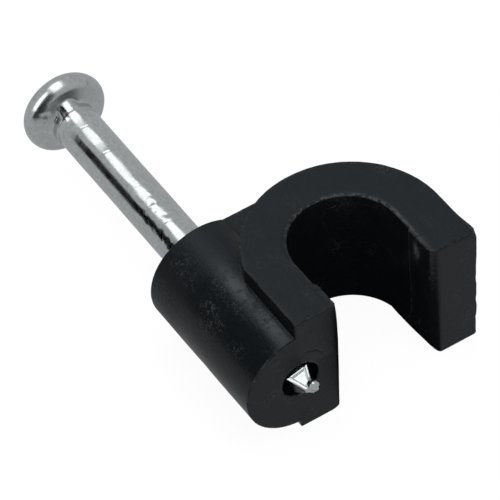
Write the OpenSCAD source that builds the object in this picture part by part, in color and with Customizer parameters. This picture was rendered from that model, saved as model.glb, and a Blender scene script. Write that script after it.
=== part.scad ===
// Nail-in cable clip for one round cable, with its masonry nail ready in the boss.
// The origin is on the cable channel's axis, at the side face that the clip lies on.
// +Z runs along the channel, +Y from the wall towards the nail's head, +X towards the free leg.

/* [Cable channel] */
// Diameter of the round cable channel
channel_d = 6; // [4:0.1:12]
// Gap between the lowest point of the round channel and the wall
wall_gap = 0.4; // [0.2:0.05:1.5]
// Length of the hook along the cable
clip_depth = 7.85; // [6.6:0.05:14]
// Radius that rounds the free leg's inner edge at the wall
free_lead_in_r = 0.5; // [0.1:0.05:0.8]
// Radius that rounds the boss leg's inner edge at the wall
boss_lead_in_r = 0.2; // [0.1:0.05:0.8]

/* [Hook walls] */
// Wall over the crown of the channel
crown_wall = 2.32; // [1.5:0.01:4]
// Wall of the free leg
free_leg_wall = 2.53; // [1.5:0.01:4]
// Wall between the channel and the outside of the leg that carries the boss
boss_leg_wall = 2.33; // [1.5:0.01:4]
// Rounding of the hook's outer edge on the side face that the clip lies on
side_edge_r = 0.15; // [0.05:0.05:0.5]
// How far the thin flash at the free leg's outer foot edge stands out
flash_w = 0.16; // [0.04:0.02:0.3]
// Height above the lying side face at which the flash starts
flash_start = 1.4; // [0.6:0.1:5]

/* [Grip in the slot] */
// How far the grip pad stands out of the free leg's inner face
pad_t = 0.08; // [0.04:0.01:0.2]
// Distance of the pad's straight upper edge below the channel's axis
pad_drop = 1.3; // [0.6:0.05:1.6]
// Height above the channel's axis that the pad reaches at the lying side
pad_rise = 0.6; // [0.2:0.05:1]
// How far the lip at the slot's mouth stands out of the boss leg's inner face
lip_t = 0.14; // [0.04:0.01:0.3]
// Height of the lip above the wall, without its sloping shoulder
lip_height = 1.6; // [0.8:0.1:2.2]

/* [Nail boss] */
// Wall between the channel and the nail
bore_wall = 0.96; // [0.5:0.01:2]
// Wall of the boss round the nail
boss_wall = 1.95; // [1:0.01:3]
// Height of the boss's underside above the lying side face
boss_lift = 0.47; // [0:0.01:2]
// How far the boss's end stands out beyond the crown
boss_over = 0.62; // [0.3:0.01:4]
// Rounding of the boss's rim at the nail's side
boss_rim_r = 0.2; // [0.05:0.05:0.5]
// Gap all round between the nail and the boss
nail_clearance = 0.03; // [0.01:0.01:0.08]
// How much narrower than the shank the hole's mouth is, all round
mouth_lip = 0.15; // [0.05:0.05:0.4]

/* [Web between boss and crown] */
// How far the web's faces lie inside the crests of the boss
web_inset = 0.37; // [0.2:0.01:1.2]
// How far the web's end lies below the end of the boss
web_drop = 0.09; // [0.03:0.01:0.4]
// Radius of the hollow that blends the web into the crown
web_blend_r = 1; // [0.5:0.1:2]
// Distance of that hollow's centre from the channel's axis, towards the boss
web_blend_offset = 0.3; // [0.2:0.05:2]

/* [Nail] */
// Full length of the nail
nail_length = 25; // [18:0.1:50]
// Diameter of the shank
nail_d = 2.5; // [1.6:0.05:4]
// How far the point stands out of the wall side before the clip is fixed
point_reach = 1.15; // [0.3:0.05:2]
// Diameter of the head
head_d = 4.8; // [3.4:0.1:8]
// Thickness of the head at its rim
head_rim_t = 1.3; // [0.6:0.05:2]
// Rise of the domed top over the rim
head_dome = 0.05; // [0.05:0.05:0.5]
// Height of the cone under the head
head_cone = 0.28; // [0.1:0.02:1]

/* [Nail point] */
// Length of the four-sided point, up to where its flats run out on the shank
point_length = 2.1; // [1.4:0.05:5]
// Turn of the point's flats about the nail
point_turn = 75; // [0:5:90]
// Diameter of the blunt bead left on the tip
bead_d = 0.68; // [0.4:0.02:0.9]
// Distance of the bead from the nail's axis, towards the free leg
bead_out = 0.2; // [0:0.02:0.3]
// Distance of the bead from the nail's axis, away from the lying side
bead_up = 0.14; // [0:0.02:0.3]

/* [Hidden] */
$fn = 96;
cut = 1;
channel_r = channel_d / 2;
channel_rise = channel_r + wall_gap;
arch_r = channel_r + free_leg_wall;
arch_y = crown_wall - free_leg_wall;
boss_leg_x = channel_r + boss_leg_wall;
shank_r = nail_d / 2;
nail_offset = channel_r + bore_wall + shank_r;
boss_r = shank_r + boss_wall;
boss_top_y = channel_r + crown_wall + boss_over;
nail_height = boss_lift + boss_r;
web_t = 2 * (boss_r - web_inset);
web_blend_y = arch_y + sqrt(pow(arch_r + web_blend_r, 2) - pow(web_blend_offset, 2));
tip_y = -channel_rise - point_reach;
head_r = head_d / 2;
head_top_y = tip_y + nail_length;
rim_y = head_top_y - head_dome - head_rim_t / 2;
rim_bulge = 0.14 * head_r;
rim_arc_r = (pow(rim_bulge, 2) + pow(head_rim_t / 2, 2)) / (2 * rim_bulge);
rim_inner_r = head_r - rim_bulge;
dome_r = (pow(rim_inner_r, 2) + pow(head_dome, 2)) / (2 * head_dome);
bore_r = shank_r + nail_clearance;
mouth_r = shank_r - mouth_lip;
corner_slope = sqrt(2) * shank_r / point_length;
corner_y = tip_y + shank_r / corner_slope;
mouth_y = corner_y - (mouth_lip + nail_clearance) / corner_slope;

// Turns what is drawn upwards so that it runs from the wall towards the nail's head
module along_nail() {
    translate([-nail_offset, 0, nail_height])
        rotate([-90, 0, 0]) children();
}

// Quarter-round cutter for an edge, to be extruded: the square less the circle that rounds it
module edge_rounder(r) {
    difference() {
        translate([-cut, -cut]) square(r + cut);
        translate([r, r]) circle(r);
    }
}

// Crown of the hook: a half disc whose edge is rounded on the lying side
module crown() {
    translate([0, arch_y, 0])
        rotate_extrude(angle = 180)
            difference() {
                square([arch_r, clip_depth]);
                translate([arch_r, 0]) rotate(90) edge_rounder(side_edge_r);
            }
}

// Both legs as one block, from the crown down to the wall
module legs() {
    leg_height = channel_rise + arch_y;
    difference() {
        translate([-boss_leg_x, -channel_rise, 0])
            cube([boss_leg_x + arch_r, leg_height, clip_depth]);
        translate([arch_r, arch_y + cut, 0])
            rotate([90, 0, 0])
                linear_extrude(leg_height + 2 * cut)
                    rotate(90) edge_rounder(side_edge_r);
    }
}

// Thin flash that the mould leaves at the free leg's outer foot edge
module flash() {
    translate([arch_r, -channel_rise, flash_start])
        linear_extrude(clip_depth - flash_start)
            polygon([
                [-flash_w, 0],
                [flash_w, 0],
                [0, flash_w],
                [-flash_w, flash_w]
            ]);
}

// Plain outer form of the hook, cut flat where the boss's leg is thinner than the crown's ends
module hook() {
    intersection() {
        union() {
            crown();
            legs();
        }
        translate([-boss_leg_x, -channel_rise - cut, -cut])
            cube([boss_leg_x + arch_r + cut, channel_rise + arch_r + 2 * cut, clip_depth + 2 * cut]);
    }
    flash();
}

// Round boss that holds the nail, with a softened rim at the nail's side
module boss() {
    along_nail()
        translate([0, 0, -channel_rise])
            rotate_extrude()
                difference() {
                    square([boss_r, channel_rise + boss_top_y]);
                    translate([boss_r, channel_rise + boss_top_y])
                        rotate(180) edge_rounder(boss_rim_r);
                }
}

// Flat web that bridges the boss and the crown, a little lower than the boss's end
module web() {
    translate([-nail_offset, 0, nail_height - web_t / 2])
        cube([nail_offset - web_blend_offset, boss_top_y - web_drop, web_t]);
}

// Cutter for the hollow where boss and web run out on the crown
module web_blend() {
    translate([-web_blend_offset, web_blend_y, nail_height - boss_r - cut])
        linear_extrude(2 * (boss_r + cut)) {
            circle(web_blend_r);
            translate([-web_blend_r, 0]) square([2 * boss_r, boss_r]);
        }
}

// Round channel and the open slot below it, with the lip on the boss leg at its mouth
module channel_section() {
    lip_y = lip_height - channel_rise;
    circle(channel_r);
    polygon([
        [channel_r, 0],
        [-channel_r, 0],
        [-channel_r, lip_y + 2 * lip_t],
        [lip_t - channel_r, lip_y],
        [lip_t - channel_r, -channel_rise - cut],
        [channel_r, -channel_rise - cut]
    ]);
}

// Rounds the lower edge of a slot's side that stands at x
module lead_in(x, r) {
    difference() {
        translate([0, -channel_rise - cut]) square([x + r, r + cut]);
        translate([x + r, r - channel_rise]) circle(r);
    }
}

// Outline of the grip pad on the free leg, its upper edge sweeping up at the lying side.
// It is drawn with the height above the channel's axis first, then the place along the cable.
module pad_outline() {
    sweep_r = pad_drop + pad_rise;
    difference() {
        translate([-channel_rise - 2 * cut, -2 * cut])
            square([channel_rise + pad_rise + 2 * cut, clip_depth + 4 * cut]);
        translate([-pad_drop, sweep_r])
            square([sweep_r + cut, clip_depth + 2 * cut]);
        translate([pad_rise, sweep_r]) circle(sweep_r);
    }
}

// Everything that is cut away for the cable: the grip pad is what the channel leaves standing
module channel() {
    pad_x = channel_r - pad_t;
    difference() {
        translate([0, 0, -cut])
            linear_extrude(clip_depth + 2 * cut) channel_section();
        translate([pad_x, 0, 0])
            rotate([90, 0, 90])
                linear_extrude(2 * pad_t) pad_outline();
    }
    translate([0, 0, -cut])
        linear_extrude(clip_depth + 2 * cut) {
            lead_in(pad_x, free_lead_in_r);
            mirror([1, 0]) lead_in(channel_r - lip_t, boss_lead_in_r);
        }
}

// Hole through the boss: a narrow mouth at the wall, a cone beside the point, then the nail's bore
module nail_hole() {
    along_nail()
        rotate_extrude()
            polygon([
                [0, -channel_rise - 2 * cut],
                [mouth_r, -channel_rise - 2 * cut],
                [mouth_r, mouth_y],
                [bore_r, corner_y],
                [bore_r, boss_top_y + cut],
                [0, boss_top_y + cut]
            ]);
}

// Moulded hook with its boss, one piece
module clip_body() {
    color([0.10, 0.11, 0.12])
        difference() {
            union() {
                hook();
                difference() {
                    union() {
                        boss();
                        web();
                    }
                    web_blend();
                }
            }
            channel();
            nail_hole();
        }
}

// Half section of the head, lying on the rim's middle plane: bulging rim, domed top, cone below
module head_section() {
    half_t = head_rim_t / 2;
    intersection() {
        union() {
            translate([0, -half_t]) square([rim_inner_r, head_rim_t + head_dome]);
            translate([head_r - rim_arc_r, 0]) circle(rim_arc_r);
        }
        translate([0, -half_t]) square([head_r, head_rim_t + head_dome]);
        translate([0, half_t + head_dome - dome_r]) circle(dome_r, $fn = 960);
    }
    polygon([
        [0, -half_t - head_cone],
        [shank_r, -half_t - head_cone],
        [rim_inner_r, -half_t],
        [0, -half_t]
    ]);
}

// Wedge whose edge lies across the nail's axis at the tip, as one pair of pinching dies leaves it
module wedge() {
    rotate([90, 0, 0])
        translate([0, 0, -nail_d])
            linear_extrude(2 * nail_d)
                polygon([
                    [0, 0],
                    [nail_d, 2 * point_length],
                    [nail_d, nail_length],
                    [-nail_d, nail_length],
                    [-nail_d, 2 * point_length]
                ]);
}

// Round shank pinched from two sides, and again from the two between, to its four-sided point
module shank() {
    intersection() {
        cylinder(r = shank_r, h = rim_y - tip_y);
        rotate(point_turn) wedge();
        rotate(point_turn + 90) wedge();
    }
}

// Masonry nail: shank and point, the blunt bead that the dies leave beside the tip, and the head
module nail() {
    bead_r = bead_d / 2;
    color([0.74, 0.75, 0.77])
        along_nail() {
            translate([0, 0, tip_y]) shank();
            translate([bead_out, -bead_up, tip_y + bead_r]) sphere(bead_r);
            translate([0, 0, rim_y]) rotate_extrude() head_section();
        }
}

clip_body();
nail();
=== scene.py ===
# %% [markdown]
# # A nail-in cable clip
#
# A small black plastic hook holds a round cable against a wall, and a steel nail waits in the boss
# at its side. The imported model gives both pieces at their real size. Here they get their finish.
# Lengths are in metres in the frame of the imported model: Z along the cable, Y along the nail from
# the wall to the head, X from the boss to the free leg. Values with a name that ends in MM are in
# millimetres, because the whole clip is no bigger than a fingertip.

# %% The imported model
import math

import bmesh
import bpy
import numpy as np
from mathutils import Matrix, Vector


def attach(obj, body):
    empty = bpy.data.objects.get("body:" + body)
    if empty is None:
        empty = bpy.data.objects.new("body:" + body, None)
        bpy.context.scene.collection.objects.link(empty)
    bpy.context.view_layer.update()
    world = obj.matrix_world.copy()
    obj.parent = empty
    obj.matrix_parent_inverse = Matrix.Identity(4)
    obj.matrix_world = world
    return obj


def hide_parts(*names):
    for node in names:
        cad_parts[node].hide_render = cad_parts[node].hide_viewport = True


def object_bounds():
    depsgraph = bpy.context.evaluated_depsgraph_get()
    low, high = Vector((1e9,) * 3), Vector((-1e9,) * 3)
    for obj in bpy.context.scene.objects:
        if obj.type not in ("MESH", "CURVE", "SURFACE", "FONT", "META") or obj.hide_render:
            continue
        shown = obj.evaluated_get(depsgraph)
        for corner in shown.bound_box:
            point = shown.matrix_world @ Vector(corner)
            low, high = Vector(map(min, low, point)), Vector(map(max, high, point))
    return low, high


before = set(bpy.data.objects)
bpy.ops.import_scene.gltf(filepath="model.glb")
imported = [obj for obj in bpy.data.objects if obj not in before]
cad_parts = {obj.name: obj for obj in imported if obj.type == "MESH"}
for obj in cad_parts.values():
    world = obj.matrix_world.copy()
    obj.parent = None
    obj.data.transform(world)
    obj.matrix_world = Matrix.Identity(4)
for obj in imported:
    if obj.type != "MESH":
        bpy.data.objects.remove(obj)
cad_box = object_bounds()
MM = 0.001
scene = bpy.context.scene
print("pieces in the packed model:", sorted(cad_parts))

# %% [markdown]
# ## The camera
#
# The photograph was taken from far off with a long lens. A camera is easiest to describe by the
# point it looks at, the direction it looks from, its distance and its lens. The roll turns the
# picture about the line of sight.

# %% Camera
AIM_MM = (-2.390, 5.710, 3.370)
AZIMUTH = -29.37
ELEVATION = 47.89
ROLL = -4.71
DISTANCE_MM = 218.25
LENS_MM = 301.73
SENSOR_MM = 36.0


def camera_axes(azimuth, elevation, roll):
    """Right, up and back of a camera. Back points from the aim to the camera: at azimuth 0 it is -Y,
    and it rises with the elevation. Right and up are turned about it by the roll."""
    a, e, r = (math.radians(angle) for angle in (azimuth, elevation, roll))
    back = np.array([math.sin(a) * math.cos(e), -math.cos(a) * math.cos(e), math.sin(e)])
    level = np.cross([0.0, 0.0, 1.0], back)
    level /= np.linalg.norm(level)
    upward = np.cross(back, level)
    right = math.cos(r) * level + math.sin(r) * upward
    up = -math.sin(r) * level + math.cos(r) * upward
    return right, up, back


def place(obj, position, axes):
    """Puts an object at a place in metres, with its own X, Y and Z along the three axes."""
    turn = np.eye(4)
    turn[:3, 0], turn[:3, 1], turn[:3, 2] = axes
    turn[:3, 3] = position
    obj.matrix_world = Matrix(turn.tolist())
    return obj


lens = bpy.data.cameras.new("camera")
lens.lens = LENS_MM
lens.sensor_width = SENSOR_MM
lens.clip_start = 0.01
lens.clip_end = 10.0
camera = bpy.data.objects.new("camera", lens)
scene.collection.objects.link(camera)
view_axes = camera_axes(AZIMUTH, ELEVATION, ROLL)
aim = np.array(AIM_MM) * MM
place(camera, aim + view_axes[2] * DISTANCE_MM * MM, view_axes)
scene.camera = camera
print("camera at", np.round(np.array(camera.matrix_world.translation) / MM, 1), "mm")

# %% [markdown]
# ## Unevenness as a formula
#
# Real surfaces are never quite true. A moulding sinks a little where it is thick, and a nail is
# rolled and gripped. Such slow unevenness could be painted or simulated. Here it is a sum of waves
# that run in fixed, seeded directions, which is smooth, cheap for whole arrays, and the same on
# each run.

# %% Uneven waves
def uneven(points_mm, size_mm, seed, waves=14):
    """Sum of sine waves over an (n, 3) array of points: each wave has its own direction and phase,
    and a length near size. The sum is scaled so that it stays mostly between -1 and 1."""
    draw = np.random.default_rng(seed)
    direction = draw.normal(size=(waves, 3))
    direction /= np.linalg.norm(direction, axis=1, keepdims=True)
    length = size_mm * draw.uniform(0.7, 1.5, waves)
    phase = draw.uniform(0, 2 * np.pi, waves)
    angle = points_mm @ (direction.T * (2 * np.pi / length)) + phase
    return np.sin(angle).sum(axis=1) / math.sqrt(waves)


def bump_at(distance, width):
    """A round bump: 1 at distance 0, falling as a bell curve of the given width."""
    return np.exp(-((distance / width) ** 2))


sample = uneven(np.random.default_rng(1).uniform(0, 10, (2000, 3)), 1.0, 3)
print("uneven waves run from", round(float(sample.min()), 2), "to", round(float(sample.max()), 2))

# %% [markdown]
# ## The moulded clip
#
# On the real clip the hook, the boss and the web between them are one shot of black plastic. The
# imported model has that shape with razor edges, and no mould can make those. The shape could be
# modelled again, but a copy keeps each size true. The copy is merged, its flat faces are joined,
# and its outer edges get a narrow rounding. Two kinds are left out: edges of low steps, which a
# rounding would swallow, and those under the feet, which stayed sharp.

# %% A merged copy
WALL_Y_MM = -3.4
FRONT_Z_MM = 7.85
CHANNEL_R_MM = 3.0


def merged_copy(source):
    """A bmesh of an object's mesh with its doubled points merged and its flat faces joined."""
    bm = bmesh.new()
    bm.from_mesh(source.data)
    bmesh.ops.remove_doubles(bm, verts=bm.verts, dist=0.002 * MM)
    bmesh.ops.dissolve_limit(bm, angle_limit=math.radians(0.3), verts=bm.verts, edges=bm.edges)
    return bm


shell = merged_copy(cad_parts["clip_body"])
print("merged moulding:", len(shell.verts), "points,", len(shell.faces), "faces")


# %% Rounded edges
EDGE_R_MM = 0.05
# Faces marked here get edge wear and a painted highlight in the plastic's colour
wear_and_highlight = shell.faces.layers.float.new("wear_and_highlight")


def sharp_edges(bm, least_degrees):
    """The outward edges whose two faces turn by more than the given angle."""
    least = math.radians(least_degrees)
    return [e for e in bm.edges if e.is_manifold and e.is_convex and e.calc_face_angle() > least]


def beside_low_wall(edge):
    """Whether one of an edge's faces is the wall of a step lower than 0.2 mm."""
    for face in edge.link_faces:
        heights = [v.co.z / MM for v in face.verts]
        if 0.01 < max(heights) - min(heights) < 0.2:
            return True
    return False


def under_a_foot(edge):
    """Whether an edge is where a foot's wall face meets the side face that the clip lies on."""
    return all(v.co.z < 0.01 * MM and v.co.y < (WALL_Y_MM + 0.01) * MM for v in edge.verts)


def round_off(bm, edges, width_mm, steps):
    """Rounds edges, and marks the new faces for edge wear and a painted highlight."""
    made = bmesh.ops.bevel(bm, geom=edges, offset=width_mm * MM, offset_type="OFFSET", segments=steps,
                           profile=0.5, affect="EDGES", clamp_overlap=True)
    for face in made["faces"]:
        face[wear_and_highlight] = 1.0
    return len(made["faces"])


outer = [e for e in sharp_edges(shell, 50) if not beside_low_wall(e) and not under_a_foot(e)]
print("rounded edges:", len(outer), "new faces:", round_off(shell, outer, EDGE_R_MM, 3))

# %% [markdown]
# A rounded copy still has faces as long as the clip. Dents and ripples need points to move, so the
# skin is cut by three sets of parallel planes, like a crystal being diced. Subdividing would do it
# too, but it bends flat faces and bunches points at the fans. The cuts leave the shape as it is.

# %% Skin cut into small cells
CELL_MM = 0.17
FINE_MM = 0.03


def in_box(place, box_mm):
    """Whether a place in metres lies between two corners in mm."""
    return all(box_mm[0][k] * MM <= place[k] <= box_mm[1][k] * MM for k in range(3))


def dice(bm, axis, places_mm, box_mm=None):
    """Cuts faces by planes across one axis, at places in mm: all of them, or those with their middle
    in a box of two corners."""
    normal = [float(k == axis) for k in range(3)]
    for at in places_mm:
        faces, edges, verts = bm.faces[:], bm.edges[:], bm.verts[:]
        if box_mm:
            faces = [f for f in faces if in_box(f.calc_center_median(), box_mm)]
            edges = list({e for f in faces for e in f.edges})
            verts = list({v for f in faces for v in f.verts})
        bmesh.ops.bisect_plane(bm, geom=verts + edges + faces, dist=0.0005 * MM,
                               plane_co=np.array(normal) * at * MM, plane_no=normal)


def every(low_mm, high_mm, gap_mm):
    """Places a gap apart, half a gap in from both ends."""
    return np.arange(low_mm + gap_mm / 2, high_mm, gap_mm)


# The rims of both side faces need closer cuts, and the insert's cut beside the nail the closest
RIM_CUTS_MM = [0.03, 0.07, 0.12, 0.18, 0.32, 0.40, 7.73, 7.77, 7.81]
INSERT_BOX_MM = ((-4.85, -3.41, 4.85), (-3.75, -3.39, 5.60))
for axis in range(3):
    span = [v.co[axis] / MM for v in shell.verts]
    dice(shell, axis, every(min(span), max(span), CELL_MM))
dice(shell, 2, RIM_CUTS_MM)
for axis in (0, 2):
    dice(shell, axis, every(INSERT_BOX_MM[0][axis], INSERT_BOX_MM[1][axis], FINE_MM), INSERT_BOX_MM)
print("diced skin:", len(shell.verts), "points,", len(shell.faces), "faces")

# %% A mesh object of the skin
def new_object(name, mesh):
    """A smooth-shaded object at the origin of the shared frame."""
    obj = bpy.data.objects.new(name, mesh)
    scene.collection.objects.link(obj)
    mesh.shade_smooth()
    return obj


bmesh.ops.triangulate(shell, faces=[f for f in shell.faces if len(f.verts) > 4])
skin = bpy.data.meshes.new("moulded_clip")
shell.to_mesh(skin)
shell.free()
clip = new_object("moulded_clip", skin)


def mesh_points(mesh):
    """The points of a mesh in millimetres and their normals, as (n, 3) arrays."""
    points = np.empty(len(mesh.vertices) * 3)
    mesh.vertices.foreach_get("co", points)
    normals = np.empty(len(mesh.vertices) * 3)
    mesh.vertex_normals.foreach_get("vector", normals)
    return points.reshape(-1, 3) / MM, normals.reshape(-1, 3)


def point_means(mesh, name):
    """For each point, the mean of a number that the faces round it carry."""
    carried, sizes = np.empty(len(mesh.polygons)), np.empty(len(mesh.polygons), int)
    mesh.attributes[name].data.foreach_get("value", carried)
    mesh.polygons.foreach_get("loop_total", sizes)
    corners = np.empty(len(mesh.loops), int)
    mesh.loops.foreach_get("vertex_index", corners)
    count = np.bincount(corners, minlength=len(mesh.vertices))
    return np.bincount(corners, np.repeat(carried, sizes), len(mesh.vertices)) / count


points, normals = mesh_points(skin)
wear_and_highlight_values = point_means(skin, "wear_and_highlight")
skin.attributes.remove(skin.attributes["wear_and_highlight"])
print("triangles:", sum(len(p.vertices) - 2 for p in skin.polygons))

# %% [markdown]
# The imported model's round walls are made of flat facets, which a dull sheen would show as stripes.
# Each facet is a chord, so its points lie a little nearer to the axis than the true wall does. They
# are moved out onto it.

# %% Facets moved onto their cylinders
NAIL_X_MM, NAIL_Z_MM = -5.21, 3.67
BOSS_R_MM = 3.2
MOUTH_R_MM = 1.1
CROWN_R_MM, CROWN_Y_MM = 5.53, -0.21


def trued(points, normals, across, centre, radius):
    """Points that lie on a chord of a cylinder and whose normals point along its radius, moved out
    onto it. Across says which two coordinates the round section has."""
    arm = points[:, across] - centre
    far = np.linalg.norm(arm, axis=1)
    radial = np.abs((arm * normals[:, across]).sum(axis=1)) / far > 0.9
    stretch = np.where(radial & (far > radius - 0.013) & (far < radius), radius / far, 1.0)
    moved = points.copy()
    moved[:, across] = centre + arm * stretch[:, None]
    return moved


on_nail, across_nail, across_channel = (NAIL_X_MM, NAIL_Z_MM), [0, 2], [0, 1]
for across, centre, radius in ((across_nail, on_nail, BOSS_R_MM), (across_nail, on_nail, MOUTH_R_MM),
                               (across_channel, (0, 0), CHANNEL_R_MM),
                               (across_channel, (0, CROWN_Y_MM), CROWN_R_MM)):
    before, points = points, trued(points, normals, across, np.array(centre), radius)
    print("cylinder of", radius, "mm:", int((points != before).any(axis=1).sum()), "points moved")
skin.vertices.foreach_set("co", (points * MM).ravel())
skin.update()
points, normals = mesh_points(skin)

# %% [markdown]
# ## Rounded rims
#
# The rim of the channel is rounder than the other edges, most of all at the back of the two feet,
# where the clip was knocked out of the tool. A rounding is a pull: a point near the rim, seen in
# the section across it, goes to the nearest place on a quarter circle. The section's two
# directions are the depth below the side face and the depth behind the channel's wall.

# %% The rim's section
FRONT_RIM_R_MM, BACK_RIM_R_MM = 0.12, 0.16


def wall_depth(x, y, corner_mm=0.5):
    """Depth in mm behind the channel, its slot and the feet: nought on them and more inside. The
    channel's circle runs on as two straight walls, and each meets its foot in a rounded corner."""
    side = np.where(y > 0, np.hypot(x, y), np.abs(x)) - CHANNEL_R_MM
    foot = y - WALL_Y_MM
    a, b = np.maximum(corner_mm - side, 0), np.maximum(corner_mm - foot, 0)
    return np.where((a > 0) & (b > 0), corner_mm - np.hypot(a, b), np.minimum(side, foot))


def pulled_round(points, below, towards, radius):
    """Points near a rim pulled to a quarter circle of the given radius: below is their depth under
    the side face, and towards is the direction along Z into the clip."""
    x, y, z = points.T
    depth = np.maximum(wall_depth(x, y), 0)
    out, down = np.maximum(radius - depth, 0), np.maximum(radius - below, 0)
    far = np.hypot(out, down)
    share = np.where((out > 0) & (down > 0) & (far > radius), 1 - radius / np.maximum(far, 1e-9), 0)
    step = 0.001
    slope_x = (wall_depth(x + step, y) - wall_depth(x - step, y)) / (2 * step)
    slope_y = (wall_depth(x, y + step) - wall_depth(x, y - step)) / (2 * step)
    return points + np.stack([slope_x * out * share, slope_y * out * share, towards * down * share], 1)


x, y, z = points.T
beside, above = np.abs(x) - CHANNEL_R_MM, y - WALL_Y_MM
from_corner = np.hypot(beside, above)
on_wall = np.clip((above - beside) / 0.7 + 0.45, 0.02, 1)
broad_free_leg, broad_boss_leg = 0.38 * bump_at(from_corner, 1.9), 0.30 * bump_at(from_corner, 0.7)
back_r = on_wall * (BACK_RIM_R_MM + np.where(x > 0, broad_free_leg, broad_boss_leg))
rounded = pulled_round(points, z, 1, back_r)
above_feet = np.clip((y - WALL_Y_MM) / 0.5, 0.05, 1)
rounded = pulled_round(rounded, FRONT_Z_MM - rounded[:, 2], -1, FRONT_RIM_R_MM * above_feet)
pulled = np.abs(rounded - points).max(axis=1)
# Channel's front rim: edge wear and a painted highlight, strongest towards the crown and the free leg
rim_wear_and_highlight = np.clip(pulled / 0.01, 0, 1) * (z > 6) * np.clip((y + 1.0 + 0.6 * x) / 3, 0.15, 1)
wear_and_highlight_values = np.maximum(wear_and_highlight_values, rim_wear_and_highlight)
print("points pulled:", int((pulled > 0.001).sum()))

# %% [markdown]
# The skin now gets the marks of its making: slow sink marks, nibbled edges on the two feet at the
# front, a lip at the boss leg that swells towards the front, the wavy flash on the free leg's outer
# edge with a nub at its front end, a flat rubbed on the boss, and the fine curved cut beside the
# nail's hole, which the edge of the tool's round insert left. The heights of the lip and the flash
# along Z were read off the photograph's outline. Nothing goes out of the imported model's box.

# %% Marks of the mould
FLASH_X_MM, FLASH_OUT_MM = 5.53, 0.16
LIP_OUT_MM = 0.14
INSERT_R_MM = 1.85

inward = 0.003 * (1 + uneven(points, 2.6, 11)) + 0.010 * wear_and_highlight_values * (1 + uneven(points, 0.45, 12))
foot_edge = bump_at(np.hypot(z - FRONT_Z_MM, y - WALL_Y_MM), 0.09)
nibbled = 0.045 * foot_edge * (0.5 + 0.5 * uneven(points * [1, 0, 0], 0.75, 13))

round_angle = np.degrees(np.arctan2(z - NAIL_Z_MM, x - NAIL_X_MM)) % 360
from_nail = np.hypot(z - NAIL_Z_MM, x - NAIL_X_MM)
on_boss = (from_nail > 3.0) & (x < NAIL_X_MM)
boss_dent = 0.015 * on_boss * bump_at(round_angle - 196, 14) * bump_at(y - 1.1, 0.45)
on_wall_face = y < WALL_Y_MM + 0.02
insert_cut = 0.09 * on_wall_face * bump_at(from_nail - INSERT_R_MM, 0.035) * bump_at(round_angle - 60, 15)

moved = rounded - normals * np.maximum(inward + nibbled + boss_dent + insert_cut, 0)[:, None]
flash = np.clip((x - FLASH_X_MM) / FLASH_OUT_MM, 0, 1)
stands_out = np.interp(z, [1.3, 1.7, 2.2, 2.7, 3.1, 3.6, 4.3, 5.4, 5.9, 6.8, 7.7],
                       [0.0, 0.07, 0.08, 0.04, 0.08, 0.095, 0.07, 0.105, 0.14, 0.16, 0.16])
moved[:, 0] -= flash * (FLASH_OUT_MM - stands_out + 0.006 * uneven(points * [0, 0, 1], 0.4, 14))
moved[:, 1] += 0.22 * flash * np.clip((z - 7.4) / 0.35, 0, 1)
nub = bump_at(y - WALL_Y_MM - 0.3, 0.75) * np.clip((z - 7.1) / 0.5, 0, 1) * (np.abs(x - FLASH_X_MM) < 0.06)
moved[:, 0] += 0.13 * nub
from_lip = np.abs(x + CHANNEL_R_MM - LIP_OUT_MM)
on_lip = np.clip(1 - from_lip / 0.12, 0, 1) ** 0.3 * np.clip((-1.5 - y) / 0.4, 0, 1)
swell = np.interp(z, [0.0, 0.6, 2.1, 3.0, 5.0, 6.4, 7.2, 7.6, 7.85],
                  [-0.05, -0.04, 0.01, 0.05, 0.10, 0.10, 0.07, 0.03, 0.0])
moved[:, 0] += swell * on_lip
moved = np.clip(moved, np.array(cad_box[0]) / MM, np.array(cad_box[1]) / MM)
skin.vertices.foreach_set("co", (moved * MM).ravel())
skin.update()
print("largest move:", round(float(np.linalg.norm(moved - points, axis=1).max()), 3), "mm")

# %% [markdown]
# ## Where the clip is rubbed
#
# The boss has been handled and lay among other clips, so its crest is polished in blocks and its
# flank is speckled, while its end by the nail's head kept the tool's matt skin. The channel was
# shaped by a polished core, so its wall is slick, and so is the notch between the boss and the
# hook. Where that is belongs to this clip, so each point of the skin carries how scuffed, polished,
# matt and slick it is, and the material reads it. A texture could say it too, but the points are
# already there.

# %% Rubbed and polished places
SCUFFS = ((1.0, 131, 3.4, 4, 0.35), (1.0, 133, 1.5, 7, 0.5), (0.8, 138, 0.5, 5, 0.5),
          (0.6, 126, 4.6, 9, 0.9), (0.5, 112, 1.5, 6, 1.6))
POLISHED = ((0.8, 102, 1.3, 7, 1.3), (0.6, 100, -2.0, 9, 1.3))
# Skin that isn't the wall of the nail's hole
off_bore = from_nail > BOSS_R_MM - 0.3


def boss_spots(spots):
    """Sum of soft spots on the boss's round side. Each gives its strength, its angle about the nail,
    its height along it in mm, and the widths of its bell curve round the nail and along it."""
    return sum(strength * off_bore * bump_at(round_angle - angle, wide) * bump_at(y - along, long)
               for strength, angle, along, wide, long in spots)


def point_values(mesh, name, values):
    """Gives each point of a mesh a number that a material can read by its name."""
    layer = mesh.attributes.new(name, "FLOAT", "POINT")
    layer.data.foreach_set("value", np.clip(values, 0, 1).astype(np.float32))


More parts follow.
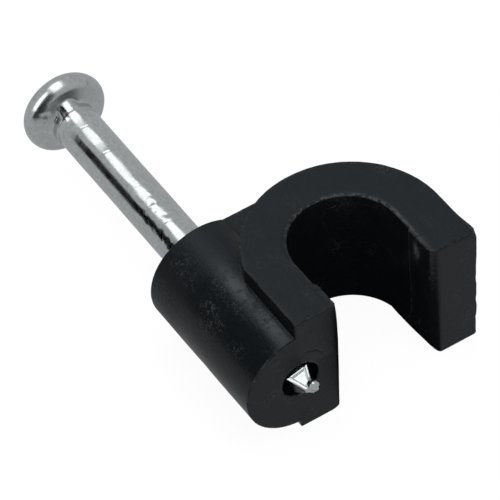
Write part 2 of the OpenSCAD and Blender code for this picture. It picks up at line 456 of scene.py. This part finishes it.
smear = on_wall_face * bump_at(x + 6.9, 0.6) * bump_at(z - 3.5 - 0.8 * (x + 6.9), 0.35)
scuffed = boss_spots(SCUFFS) + 0.35 * np.clip(uneven(points, 1.8, 15) - 0.4, 0, 1) + 0.5 * smear
polished = boss_spots(POLISHED)
# Painted glint: a pale spot on the free leg's pad near the front, in the colour of worn edges
painted_glint = (np.abs(x - 2.95) < 0.12) * bump_at(y + 2.0, 0.22) * bump_at(z - 6.8, 0.5)
boss_side = off_bore & (x < -2.0)
matt = boss_side * np.clip((y - 2.6) / 1.2, 0, 1)
slick = (wall_depth(x, y) < 0.12) * (np.abs(normals[:, 2]) < 0.4) * np.clip((y - WALL_Y_MM) / 0.1, 0, 1)
slick = np.maximum(slick, 0.35 * boss_side * (np.abs(normals[:, 1]) < 0.5))
in_notch = (x > -5.3) & (x < -2.0) & (y < 4.7) & (z > 4.5) & (z < 7.75) & (np.abs(normals[:, 2]) < 0.995)
slick = np.maximum(slick, in_notch * np.clip((93 - round_angle) / 5, 0, 1))
# Edge wear, with painted highlights on the rounded edges, the channel's rim and the pad's glint
point_values(skin, "wear_and_highlight", np.maximum(wear_and_highlight_values, 1.5 * painted_glint))
point_values(skin, "slick", slick)
point_values(skin, "matt", matt)
point_values(skin, "scuffed", scuffed)
point_values(skin, "polished", polished)
print("scuffed points:", int((scuffed > 0.3).sum()), "polished points:", int((polished > 0.3).sum()))

# %% [markdown]
# ## The nail
#
# The nail is cut from hard wire, its head is upset in a die, and its point is pinched by two pairs
# of dies, which leave sharp corners and a blunt bead of squeezed steel beside the tip. It could be
# turned as a lathe shape, but the point isn't round. So it is one surface over two parameters: the
# angle round the nail and the station along it, from the bead to the middle of the head. Each
# station is a ring, and each ring's radius depends on the angle.

# %% Sizes of the nail
TIP_Y_MM = -4.55
SHANK_R_MM = 1.25
POINT_MM = 2.1
POINT_TURN = math.radians(75)
BEAD_R_MM = 0.34
BEAD_OUT_MM, BEAD_UP_MM = 0.25, 0.14
DIES_END_MM = -3.32
FLAT_MM, FLAT_SLOPE, UNDERCUT_MM = 0.64, 0.44, 0.30
BORDER_MM = 0.16
LENGTH_MM = 25.0
HEAD_R_MM, RIM_MM, DOME_MM, CONE_MM = 2.4, 1.3, 0.05, 0.28
HEAD_TOP_MM = TIP_Y_MM + LENGTH_MM
RIM_Y_MM = HEAD_TOP_MM - DOME_MM - RIM_MM / 2
BULGE_MM = 0.14 * HEAD_R_MM
FLAT_R_MM = HEAD_R_MM - BULGE_MM

# %% The rings of the nail
COLUMNS = 192
NECK_Y_MM = RIM_Y_MM - RIM_MM / 2 - CONE_MM


def shank_stations():
    """Stations from the bead's bottom to just under the head: close at the bead and the point, wide
    where the boss hides the shank, and close again where it is seen."""
    bead = TIP_Y_MM + BEAD_R_MM * (1 - np.cos(np.linspace(0.05, 1.9, 20)))
    point = np.concatenate([np.arange(bead[-1] + 0.02, DIES_END_MM + 0.1, 0.02),
                            np.arange(DIES_END_MM + 0.1, TIP_Y_MM + POINT_MM + 0.3, 0.04)])
    hidden = np.linspace(point[-1] + 0.1, 5.6, 16)
    seen = np.linspace(5.65, NECK_Y_MM - 0.5, 245)
    return np.concatenate([bead, point, hidden, seen])


def head_profile():
    """Radius and height of the head from under the neck, over the cone, round the rim and in over the
    top. The corners are softened: the path is cut into equal short steps, and each point becomes
    the mean of its neighbours, weighed by a bell curve."""
    half = RIM_MM / 2
    arc_r = (BULGE_MM ** 2 + half ** 2) / (2 * BULGE_MM)
    a = np.linspace(-1, 1, 40) * math.asin(half / arc_r)
    rim = np.stack([HEAD_R_MM - arc_r + arc_r * np.cos(a), RIM_Y_MM + arc_r * np.sin(a)], 1)
    t = np.linspace(0, 1, 12)[1:]
    top = np.stack([FLAT_R_MM * (1 - t), RIM_Y_MM + half + DOME_MM * (1 - (1 - t) ** 2)], 1)
    path = np.concatenate([[[SHANK_R_MM, NECK_Y_MM - 1.0], [SHANK_R_MM, NECK_Y_MM]], rim, top])
    length = np.concatenate([[0], np.cumsum(np.linalg.norm(np.diff(path, axis=0), axis=1))])
    even = np.arange(0, length[-1], 0.01)
    fine = np.stack([np.interp(even, length, path[:, k]) for k in range(2)], 1)
    bell = np.exp(-((np.arange(-30, 31) * 0.01 / 0.10) ** 2))
    soft = fine.copy()
    for k in range(2):
        soft[30:-30, k] = np.convolve(fine[:, k], bell / bell.sum(), "valid")
    seen = (even > 0.53) & (even < length[-1] - 0.1)
    return soft[seen][::6]


stations = shank_stations()
profile = head_profile()
print("rings:", len(stations), "on the shank and", len(profile), "on the head")


# %% The point and its bead
def smaller(a, b, blend):
    """The smaller of two values, with a soft turn of the given size where they cross."""
    return (a + b - np.sqrt((a - b) ** 2 + blend ** 2)) / 2


def larger(a, b, blend):
    """The larger of two values, with a soft turn of the given size where they cross."""
    return (a + b + np.sqrt((a - b) ** 2 + blend ** 2)) / 2


def pinched_rings(heights, angle):
    """Centre and radius of each ring. The point is a pyramid: its four flats stand off the axis by a
    width that grows from the tip. Seen from the ring's centre, the nearest flat in a direction gives
    the radius. Where the dies ended the pyramid is undercut, and behind that the wire soon has its
    full radius. The upper flat has a fine groove along its borders. The bead's ball is the least
    radius, and the centres move over to it."""
    share = np.clip((TIP_Y_MM + 1.2 - heights) / 0.55, 0, 1)
    share = share * share * (3 - 2 * share)
    cx, cz = BEAD_OUT_MM * share, BEAD_UP_MM * share
    ball = np.sqrt(np.clip(BEAD_R_MM ** 2 - (heights - TIP_Y_MM - BEAD_R_MM) ** 2, 0, None))
    behind = heights - DIES_END_MM
    flat = FLAT_MM + FLAT_SLOPE * behind - UNDERCUT_MM * np.clip(behind / 0.05, 0, 1)
    width = larger(flat, SHANK_R_MM + 3.0 * (heights - TIP_Y_MM - POINT_MM - 0.1), 0.06)
    upper = width * np.clip((heights - TIP_Y_MM - 0.02) / 0.25, 0, 1)
    lower = 0.92 * width * np.clip((heights - TIP_Y_MM - 0.20) / 0.45, 0, 1)
    reach = np.full((len(heights), len(angle)), SHANK_R_MM * 3)
    for k in range(4):
        n = -POINT_TURN + k * np.pi / 2
        lean = np.cos(angle - n)
        width = lower if k == 0 else upper
        room = (width - cx * math.cos(n) - cz * math.sin(n))[:, None]
        along = np.abs(room * np.tan(angle - n) + (cz * math.cos(n) - cx * math.sin(n))[:, None])
        inside = width[:, None] - along
        groove = (inside > BORDER_MM) * bump_at(behind + 0.13, 0.03)[:, None]
        groove = np.maximum(groove, bump_at(inside - BORDER_MM, 0.03))
        room = room - 0.016 * groove * (behind < 0)[:, None] * (k == 2)
        reach = np.where(lean > 0.02, np.minimum(reach, room / np.maximum(lean, 0.02)), reach)
    radius = smaller(np.maximum(reach, 0), SHANK_R_MM + 0 * reach, 0.02)
    return cx, cz, larger(radius, ball[:, None], 0.03)


u = np.arange(COLUMNS) * 2 * np.pi / COLUMNS
# The columns crowd at the pyramid's four corners
angle = u - 0.17 * np.sin(4 * (u + POINT_TURN - np.pi / 4))
centre_x, centre_z, radius = pinched_rings(stations, angle)
PIT_Y_MM, PIT_ANGLE, PIT_MM = -3.99, 100, 0.13
pit = bump_at(stations[:, None] - PIT_Y_MM, 0.06) * bump_at(np.degrees(angle)[None, :] - PIT_ANGLE, 10)
radius = radius - PIT_MM * pit
print("ring radii at the tip:", np.round(radius[:3].mean(axis=1), 3), "mm")

# %% [markdown]
# Drawn and rolled wire is a little lobed, and it slipped in the rolls: between two slips the crest
# is flatter in the middle and tighter at its ends. That breaks the long highlight on the real nail
# into leaves. The jaws that held it while the head was struck left a rough patch on its middle, and
# some steel was squeezed out between them just under the head. These are small moves of the rings:
# hundredths of a millimetre tilt the surface enough to bend what it mirrors.

# %% Marks of the rolls and the jaws
SLIPS_MM = np.array([5.0, 8.7, 10.2, 11.76, 14.77, 17.04, 18.9])
SHIFTS = np.array([3.0, -4.0, 5.0, -2.0, 3.0, -1.0])
CREST_ANGLE = 99


def gusset(heights, angle):
    """Rise of the steel that was squeezed out under the head on its upper side: a short ramp with a
    flat crest and steep sides, which runs out along the shank."""
    rise = larger(0.0, 0.48 * (heights - NECK_Y_MM + 0.72), 0.08)
    return np.clip(rise - 0.002, 0, 0.6) * np.exp(-(((np.degrees(angle) - 104) / 25) ** 4))


def shank_marks(heights, angle):
    """Change of radius: leaf-shaped flats along the crest between two slips of the rolls, a thin
    slanting groove at each slip, a slow unevenness, and small dents by the jaws."""
    a, h = np.meshgrid(angle, heights)
    degrees = np.degrees(a)
    k = np.clip(np.searchsorted(SLIPS_MM, h) - 1, 0, len(SLIPS_MM) - 2)
    along = (h - SLIPS_MM[k]) / (SLIPS_MM[k + 1] - SLIPS_MM[k])
    crest = bump_at(degrees - CREST_ANGLE - SHIFTS[k] - 9 * (along - 0.5), 15)
    leaves = crest * (0.012 - 0.030 * np.sin(np.pi * np.clip(along, 0, 1)) ** 0.7)
    fade = np.clip((h - 5.4) / 0.3, 0, 1)
    ring = np.stack([SHANK_R_MM * np.cos(a), h, SHANK_R_MM * np.sin(a)], -1).reshape(-1, 3)
    slow = 0.004 * uneven(ring * [1, 0.35, 1], 1.3, 21).reshape(a.shape)
    jaws = bump_at(h - 10.3, 1.4) * bump_at(degrees - 90, 26)
    lower = bump_at(h - 7.4, 2.6) * bump_at(degrees - 136, 13)
    rough = np.clip(uneven(ring, 0.34, 22).reshape(a.shape), -0.4, None)
    dents = -0.012 * jaws * rough - 0.013 * lower * rough
    from_crest = degrees - CREST_ANGLE
    grooves = -0.009 * sum(bump_at(h - slip - 0.004 * from_crest, 0.05) for slip in SLIPS_MM[1:-1])
    return fade * (leaves + slow + dents + grooves * bump_at(from_crest, 22))


marks = shank_marks(stations, angle)
radius = radius + marks + gusset(stations[:, None], angle[None, :])
print("marks on the shank:", np.round([marks.min(), marks.max()], 3), "mm")

# %% One closed surface
def ring_surface(name, rings, first, last):
    """Mesh of rings joined by quads, closed at both ends by a fan to a pole."""
    rows, columns = rings.shape[:2]
    verts = np.concatenate([rings.reshape(-1, 3), [first, last]])
    k = np.arange(rows * columns).reshape(rows, columns)
    turned = np.roll(k, -1, axis=1)
    quads = np.stack([k[:-1], k[1:], turned[1:], turned[:-1]], -1).reshape(-1, 4)
    start = np.stack([np.full(columns, rows * columns), k[0], turned[0]], -1)
    end = np.stack([turned[-1], k[-1], np.full(columns, rows * columns + 1)], -1)
    mesh = bpy.data.meshes.new(name)
    mesh.from_pydata(verts * MM, [], quads.tolist() + start.tolist() + end.tolist())
    mesh.validate()
    return mesh


shank_rings = np.stack([
    NAIL_X_MM + centre_x[:, None] + radius * np.cos(angle),
    np.repeat(stations[:, None], COLUMNS, axis=1),
    NAIL_Z_MM + centre_z[:, None] + radius * np.sin(angle)], -1)
across, up = np.meshgrid(angle, profile[:, 1])
head_r = profile[:, :1] * (1 + 0.004 * np.sin(2 * across + 0.6) + 0.003 * np.sin(5 * across))
under = np.clip((RIM_Y_MM - 0.1 - up) / 0.4, 0, 1) * np.clip((up - NECK_Y_MM + 0.3) / 0.3, 0, 1)
under = under * np.clip((profile[:, :1] - SHANK_R_MM - 0.1) / 0.3, 0, 1)
spot = np.stack([head_r * np.cos(across), up, head_r * np.sin(across)], -1).reshape(-1, 3)
folds = 0.014 * under * bump_at(np.degrees(across) - 150, 38) * uneven(spot, 0.45, 31).reshape(across.shape)
head_r = larger(head_r, SHANK_R_MM + gusset(up, across), 0.05) * (up < RIM_Y_MM) + head_r * (up >= RIM_Y_MM)
head_rings = np.stack([
    NAIL_X_MM + head_r * np.cos(across),
    np.minimum(up + folds, HEAD_TOP_MM),
    NAIL_Z_MM + head_r * np.sin(across)], -1)
rings = np.concatenate([shank_rings, head_rings])
bead_pole = [NAIL_X_MM + BEAD_OUT_MM, TIP_Y_MM, NAIL_Z_MM + BEAD_UP_MM]
nail_mesh = ring_surface("masonry_nail", rings, bead_pole, [NAIL_X_MM, HEAD_TOP_MM, NAIL_Z_MM])
nail = new_object("masonry_nail", nail_mesh)
nail_points, _ = mesh_points(nail_mesh)
height = nail_points[:, 1]
forged = np.clip((height - NECK_Y_MM - 0.02) / 0.1, 0, 1) * np.clip((RIM_Y_MM - 0.25 - height) / 0.3, 0, 1)
point_values(nail_mesh, "forged", forged)
volume = bmesh.new()
volume.from_mesh(nail_mesh)
print("nail volume:", round(volume.calc_volume(signed=True) / MM ** 3, 1), "mm3")
volume.free()

# %% [markdown]
# ## Effects that both finishes share
#
# Two effects are wanted on plastic and on steel: patches with torn borders, and a fine relief that
# may be stretched along the nail. Each is built once as a node group and placed in both materials
# with its own values.

# %% Small helpers for nodes
def add(tree, kind, **settings):
    """A node of the given kind, with its settings and the values of its sockets by name."""
    node = tree.nodes.new(kind)
    for key, value in settings.items():
        if key in node.inputs:
            node.inputs[key].default_value = value
        else:
            setattr(node, key, value)
    return node


def group_with(name, inputs, output):
    """An empty node group with a vector input, number inputs with their defaults, and one output."""
    group = bpy.data.node_groups.new(name, "ShaderNodeTree")
    group.interface.new_socket("Vector", in_out="INPUT", socket_type="NodeSocketVector")
    for label, value in inputs.items():
        socket = group.interface.new_socket(label, in_out="INPUT", socket_type="NodeSocketFloat")
        socket.default_value = value
    group.interface.new_socket(output, in_out="OUTPUT", socket_type="NodeSocketFloat")
    return group, group.nodes.new("NodeGroupInput"), group.nodes.new("NodeGroupOutput")


# %% Torn patches
patches, entry, leave = group_with("torn patches", {"Scale": 1000.0, "Share": 0.5, "Softness": 0.1}, "Mask")
noise = add(patches, "ShaderNodeTexNoise", Detail=5.0, Roughness=0.62, Distortion=0.6)
below = add(patches, "ShaderNodeMath", operation="SUBTRACT")
ramp = add(patches, "ShaderNodeMapRange", interpolation_type="SMOOTHSTEP")
patches.links.new(entry.outputs["Vector"], noise.inputs["Vector"])
patches.links.new(entry.outputs["Scale"], noise.inputs["Scale"])
patches.links.new(entry.outputs["Share"], below.inputs[0])
patches.links.new(entry.outputs["Softness"], below.inputs[1])
patches.links.new(noise.outputs["Fac"], ramp.inputs["Value"])
patches.links.new(below.outputs[0], ramp.inputs["From Min"])
patches.links.new(entry.outputs["Share"], ramp.inputs["From Max"])
patches.links.new(ramp.outputs["Result"], leave.inputs["Mask"])
print("torn patches:", len(patches.nodes), "nodes")

# %% Fine relief
relief, entry, leave = group_with("fine relief", {"Scale": 4000.0, "Along": 1.0, "Coarse": 0.5}, "Height")
stretch = add(relief, "ShaderNodeCombineXYZ", X=1.0, Z=1.0)
scaled = add(relief, "ShaderNodeVectorMath", operation="MULTIPLY")
fine = add(relief, "ShaderNodeTexNoise", Detail=4.0, Roughness=0.6)
wide = add(relief, "ShaderNodeTexNoise", Detail=2.0, Roughness=0.5)
third = add(relief, "ShaderNodeMath", operation="MULTIPLY")
third.inputs[1].default_value = 0.3
both = add(relief, "ShaderNodeMix", data_type="FLOAT")
relief.links.new(entry.outputs["Along"], stretch.inputs["Y"])
relief.links.new(entry.outputs["Vector"], scaled.inputs[0])
relief.links.new(stretch.outputs["Vector"], scaled.inputs[1])
relief.links.new(entry.outputs["Scale"], fine.inputs["Scale"])
relief.links.new(entry.outputs["Scale"], third.inputs[0])
relief.links.new(third.outputs[0], wide.inputs["Scale"])
relief.links.new(scaled.outputs["Vector"], fine.inputs["Vector"])
relief.links.new(scaled.outputs["Vector"], wide.inputs["Vector"])
relief.links.new(entry.outputs["Coarse"], both.inputs["Factor"])
relief.links.new(fine.outputs["Fac"], both.inputs["A"])
relief.links.new(wide.outputs["Fac"], both.inputs["B"])
relief.links.new(both.outputs["Result"], leave.inputs["Height"])
print("shared effects:", [g.name for g in bpy.data.node_groups])


# %% A material to fill
def start_material(name):
    """A material with its main shader, its tree, and the place on the piece in metres."""
    material = bpy.data.materials.new(name)
    material.use_nodes = True
    tree = material.node_tree
    where = tree.nodes.new("ShaderNodeTexCoord").outputs["Object"]
    return material, tree, tree.nodes["Principled BSDF"], where


def effect(tree, group, where, **values):
    """Places a shared effect in a material and gives back its output."""
    node = tree.nodes.new("ShaderNodeGroup")
    node.node_tree = group
    tree.links.new(where, node.inputs["Vector"])
    for key, value in values.items():
        node.inputs[key].default_value = value
    return node.outputs[0]


def combine(tree, operation, first, second):
    """A sum, product or other operation of two values, each a socket or a number."""
    node = tree.nodes.new("ShaderNodeMath")
    node.operation = operation
    node.use_clamp = operation in ("ADD", "MAXIMUM")
    for k, value in enumerate((first, second)):
        if isinstance(value, (int, float)):
            node.inputs[k].default_value = value
        else:
            tree.links.new(value, node.inputs[k])
    return node.outputs[0]


def between(tree, share, low, high):
    """A number or colour that runs from low to high with a share from 0 to 1."""
    colour = isinstance(low, tuple) or isinstance(high, tuple)
    node = tree.nodes.new("ShaderNodeMix")
    node.data_type = "RGBA" if colour else "FLOAT"
    slots = [s for s in node.inputs if s.type == ("RGBA" if colour else "VALUE") and s.name in "AB"]
    for slot, value in zip(slots, (low, high)):
        if isinstance(value, bpy.types.NodeSocket):
            tree.links.new(value, slot)
        else:
            slot.default_value = (*value, 1) if colour else value
    tree.links.new(share, node.inputs["Factor"])
    return [s for s in node.outputs if s.type == ("RGBA" if colour else "VALUE")][0]


def point_number(tree, name):
    """Reads a number that the mesh's points carry."""
    node = tree.nodes.new("ShaderNodeAttribute")
    node.attribute_name = name
    return node.outputs["Fac"]


# %% [markdown]
# ## Black moulded plastic
#
# The clip is polyethylene with carbon black: nearly black in itself, so what is seen is the sheen
# of its skin. The black is faintly clouded, and the sheen is dull with a fine spark-eroded grain,
# tighter where it was polished, and broken into pale specks where it was scuffed. Edges that
# knocked against others turn chalky in places. The same pale colour also paints a highlight on the
# rounded edges, on the channel's front rim and on a spot of the free leg's pad.

# %% The plastic
plastic, tree, shader, where = start_material("black polyethylene")
speck = effect(tree, patches, where, Scale=5200.0, Share=0.60, Softness=0.07)
torn = effect(tree, patches, where, Scale=3200.0, Share=0.53, Softness=0.14)
scuff = combine(tree, "MULTIPLY", point_number(tree, "scuffed"), speck)
# Edge wear, and a painted highlight on the rounded edges, the channel's rim and the pad's glint
edge = combine(tree, "MULTIPLY", combine(tree, "MULTIPLY", point_number(tree, "wear_and_highlight"), torn), 0.8)
shine = combine(tree, "MULTIPLY", point_number(tree, "polished"),
                effect(tree, patches, where, Scale=1500.0, Share=0.5, Softness=0.12))
BLACK_DEEP = (0.0035, 0.0050, 0.0065)
BLACK_PALE = (0.0120, 0.0150, 0.0180)
DUSTY = (0.060, 0.067, 0.070)
# Pale colour of chalky wear, which also paints the highlights of edges and the pad
PALE_WEAR_AND_HIGHLIGHT = (0.12, 0.13, 0.135)
cloudy = effect(tree, relief, where, Scale=4500.0, Along=0.7, Coarse=0.4)
black = between(tree, cloudy, BLACK_DEEP, BLACK_PALE)
tree.links.new(between(tree, edge, between(tree, scuff, black, DUSTY), PALE_WEAR_AND_HIGHLIGHT), shader.inputs["Base Color"])
dull = between(tree, point_number(tree, "slick"), between(tree, point_number(tree, "matt"), 0.36, 0.55), 0.18)
tree.links.new(between(tree, shine, between(tree, scuff, dull, 0.5), 0.2), shader.inputs["Roughness"])
shader.inputs["Specular IOR Level"].default_value = 0.28
shader.inputs["Specular Tint"].default_value = (0.81, 0.91, 1.0, 1)
tree.links.new(combine(tree, "MULTIPLY", shine, 0.45), shader.inputs["Coat Weight"])
shader.inputs["Coat Roughness"].default_value = 0.2
grain = effect(tree, relief, where, Scale=6000.0, Along=0.7, Coarse=0.35)
bump = add(tree, "ShaderNodeBump", Strength=0.8, Distance=0.025 * MM)
tree.links.new(combine(tree, "ADD", grain, combine(tree, "MULTIPLY", scuff, 0.8)), bump.inputs["Height"])
tree.links.new(bump.outputs["Normal"], shader.inputs["Normal"])
skin.materials.append(plastic)
print("plastic:", len(tree.nodes), "nodes")

# %% [markdown]
# ## Zinc-plated steel
#
# The nail is hardened steel with a thin bright coat of zinc. Zinc mirrors about six tenths of the
# light, slightly cool, and a little more or less from crystal to crystal. The coat is not polished:
# fine drawn lines run along the shank, some small stains are darker, and dull patches take the
# mirror away in places, most of all under the head, which was struck in a die.

# %% The steel
steel, tree, shader, where = start_material("zinc-plated steel")
dulled = effect(tree, patches, where, Scale=1600.0, Share=0.55, Softness=0.25)
clean = effect(tree, patches, where, Scale=3000.0, Share=0.40, Softness=0.12)
crystal = effect(tree, relief, where, Scale=7500.0, Along=0.6, Coarse=0.3)
ZINC_DIM = (0.36, 0.385, 0.39)
ZINC_BRIGHT = (0.84, 0.885, 0.90)
STAIN = (0.36, 0.375, 0.38)
zinc = between(tree, crystal, ZINC_DIM, ZINC_BRIGHT)
tree.links.new(between(tree, clean, STAIN, zinc), shader.inputs["Base Color"])
rough = between(tree, point_number(tree, "forged"), between(tree, dulled, 0.12, 0.22), 0.32)
tree.links.new(rough, shader.inputs["Roughness"])
shader.inputs["Metallic"].default_value = 1.0
drawn = effect(tree, relief, where, Scale=9000.0, Along=0.12, Coarse=0.45)
bump = add(tree, "ShaderNodeBump", Strength=0.55, Distance=0.006 * MM)
tree.links.new(drawn, bump.inputs["Height"])
tree.links.new(bump.outputs["Normal"], shader.inputs["Normal"])
nail_mesh.materials.append(steel)
print("steel:", len(tree.nodes), "nodes")

# %% [markdown]
# ## Floor, surroundings and light
#
# The photograph was made in a white tent. Its cloth is a little grey to what stands inside, and
# only the picture's ground is pure white. So the world and the floor are pale grey for the light
# they give, white where the camera sees them, and the cloth's plain grey where a shiny face mirrors
# them. Two soft lamps, one overhead and one along the left, draw the bright streak and the ring on
# the nail. Dark cards stand at the left: they make the black line beside the streak and the dark
# flank of the boss. Two sheets of felt lie under the channel and before its slot: they are painted
# shade, which the walls inside the hook mirror as deep black. The camera sees neither cards nor
# felt.

# %% Surroundings
TENT = 0.47
MIRRORED = 0.48
world = bpy.data.worlds.new("tent")
scene.world = world
world.use_nodes = True
tree = world.node_tree
ray = tree.nodes.new("ShaderNodeLightPath")
glow = between(tree, ray.outputs["Is Glossy Ray"], TENT, MIRRORED)
glow = between(tree, ray.outputs["Is Camera Ray"], glow, 1.0)
tree.nodes["Background"].inputs["Color"].default_value = (1, 1, 1, 1)
tree.links.new(glow, tree.nodes["Background"].inputs["Strength"])
scene.view_settings.view_transform = "Standard"
print("tent gives", TENT, "and is mirrored as", MIRRORED)


# %% Floor
def flat_sheet(name, corners):
    """A single flat face through four corners in metres."""
    mesh = bpy.data.meshes.new(name)
    mesh.from_pydata([tuple(c) for c in corners], [], [(0, 1, 2, 3)])
    obj = bpy.data.objects.new(name, mesh)
    scene.collection.objects.link(obj)
    return obj


FLOOR_HALF = 2.0
CLOTH_GREY, CLOTH_WHITE = 0.56, 1.18
# The camera and mirrors see this share of the floor as shining, and the rest as lit cloth, which
# keeps the clip's shadow
SHINING = 0.80
floor = flat_sheet("floor", [(-FLOOR_HALF, -FLOOR_HALF, 0), (FLOOR_HALF, -FLOOR_HALF, 0),
                             (FLOOR_HALF, FLOOR_HALF, 0), (-FLOOR_HALF, FLOOR_HALF, 0)])
cloth, tree, shader, where = start_material("tent cloth")
shader.inputs["Base Color"].default_value = (CLOTH_GREY, CLOTH_GREY, CLOTH_GREY, 1)
shader.inputs["Roughness"].default_value = 0.9
shader.inputs["Specular IOR Level"].default_value = 0.0
white = tree.nodes.new("ShaderNodeEmission")
ray = tree.nodes.new("ShaderNodeLightPath")
tree.links.new(between(tree, ray.outputs["Is Camera Ray"], MIRRORED, CLOTH_WHITE), white.inputs["Strength"])
seen = tree.nodes.new("ShaderNodeMixShader")
looked_at = combine(tree, "MAXIMUM", ray.outputs["Is Camera Ray"], ray.outputs["Is Glossy Ray"])
tree.links.new(combine(tree, "MULTIPLY", looked_at, SHINING), seen.inputs["Fac"])
tree.links.new(shader.outputs["BSDF"], seen.inputs[1])
tree.links.new(white.outputs["Emission"], seen.inputs[2])
tree.links.new(seen.outputs["Shader"], tree.nodes["Material Output"].inputs["Surface"])
floor.data.materials.append(cloth)
print("floor:", 2 * FLOOR_HALF, "m wide")

# %% Lamps
CLIP_CENTRE = np.array([-4.0, 6.0, 4.0]) * MM


def facing(direction, across):
    """Axes of a lamp that stands in a direction and faces back: X runs across."""
    out = np.array(direction, float) / np.linalg.norm(direction)
    side = np.array(across, float) - np.dot(across, out) * out
    side /= np.linalg.norm(side)
    return side, np.cross(out, side), out


def soft_lamp(name, direction, across, distance, width, height, radiance):
    """A rectangular lamp whose face shines with the given radiance: power is that times pi and area."""
    data = bpy.data.lights.new(name, "AREA")
    data.shape = "RECTANGLE"
    data.size, data.size_y = width, height
    data.energy = radiance * math.pi * width * height
    lamp = bpy.data.objects.new(name, data)
    scene.collection.objects.link(lamp)
    axes = facing(direction, across)
    return place(lamp, CLIP_CENTRE + axes[2] * distance, axes)


soft_lamp("overhead lamp", (-0.01, 0.20, 0.98), (1, 0, 0), distance=0.30, width=0.16, height=0.36,
          radiance=1.38)
soft_lamp("left lamp", (-0.74, 0.20, 0.60), (0.60, 0, 0.74), distance=0.30, width=0.26, height=0.13,
          radiance=1.6)

# %% Dark cards
felt, tree, shader, where = start_material("black felt")
shader.inputs["Base Color"].default_value = (0.01, 0.01, 0.01, 1)
shader.inputs["Roughness"].default_value = 1.0
shader.inputs["Specular IOR Level"].default_value = 0.0


def dark(card):
    """Covers a card in felt. It throws no shadow, and only a shiny face that mirrors it shows it."""
    card.data.materials.append(felt)
    card.visible_camera = False
    card.visible_diffuse = False
    card.visible_shadow = False
    return card


def curved_card(name, radius_mm, low_angle, high_angle, low_y_mm, high_y_mm):
    """A felt sheet bent round the nail's axis: its two parameters are the angle about the nail, from
    the free leg's side upwards, and the place along it."""
    angles = np.radians(np.linspace(low_angle, high_angle, 24))
    a, h = np.meshgrid(angles, np.linspace(low_y_mm, high_y_mm, 8))
    verts = np.stack([NAIL_X_MM + radius_mm * np.cos(a), h, NAIL_Z_MM + radius_mm * np.sin(a)], -1)
    k = np.arange(a.size).reshape(a.shape)
    quads = np.stack([k[:-1, :-1], k[:-1, 1:], k[1:, 1:], k[1:, :-1]], -1).reshape(-1, 4)
    mesh = bpy.data.meshes.new(name)
    mesh.from_pydata(verts.reshape(-1, 3) * MM, [], quads.tolist())
    card = bpy.data.objects.new(name, mesh)
    scene.collection.objects.link(card)
    return dark(card)


curved_card("narrow card", radius_mm=4, low_angle=137, high_angle=167, low_y_mm=7.4, high_y_mm=19.2)
wide_card = curved_card("wide card", radius_mm=20, low_angle=106, high_angle=179, low_y_mm=-2,
                        high_y_mm=18.3)
# This one shades the boss from the left lamp as well
wide_card.visible_shadow = True
FELT_Z_MM = 0.02
# Painted shade: dark sheets under the channel and before its slot, mirrored as deep black inside the hook
for name, corners in {"shade sheet under the channel": [(-3.0, -3.4), (3.4, -3.4), (3.4, 3.0), (-3.0, 3.0)],
                      "shade sheet before the slot": [(0.2, -9.0), (4.2, -9.0), (3.3, -3.4), (-2.9, -3.4)]}.items():
    dark(flat_sheet(name, [(x * MM, y * MM, FELT_Z_MM * MM) for x, y in corners]))

# %% [markdown]
# ## One rigid body
#
# Both pieces belong to the one rigid body, because nothing on the clip moves. The imported pieces
# that they stand for are hidden.

# %% Bodies
for piece, node, finish in ((clip, "clip_body", "clip_plastic"), (nail, "nail", "nail_steel")):
    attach(piece, "root")
    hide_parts(node)
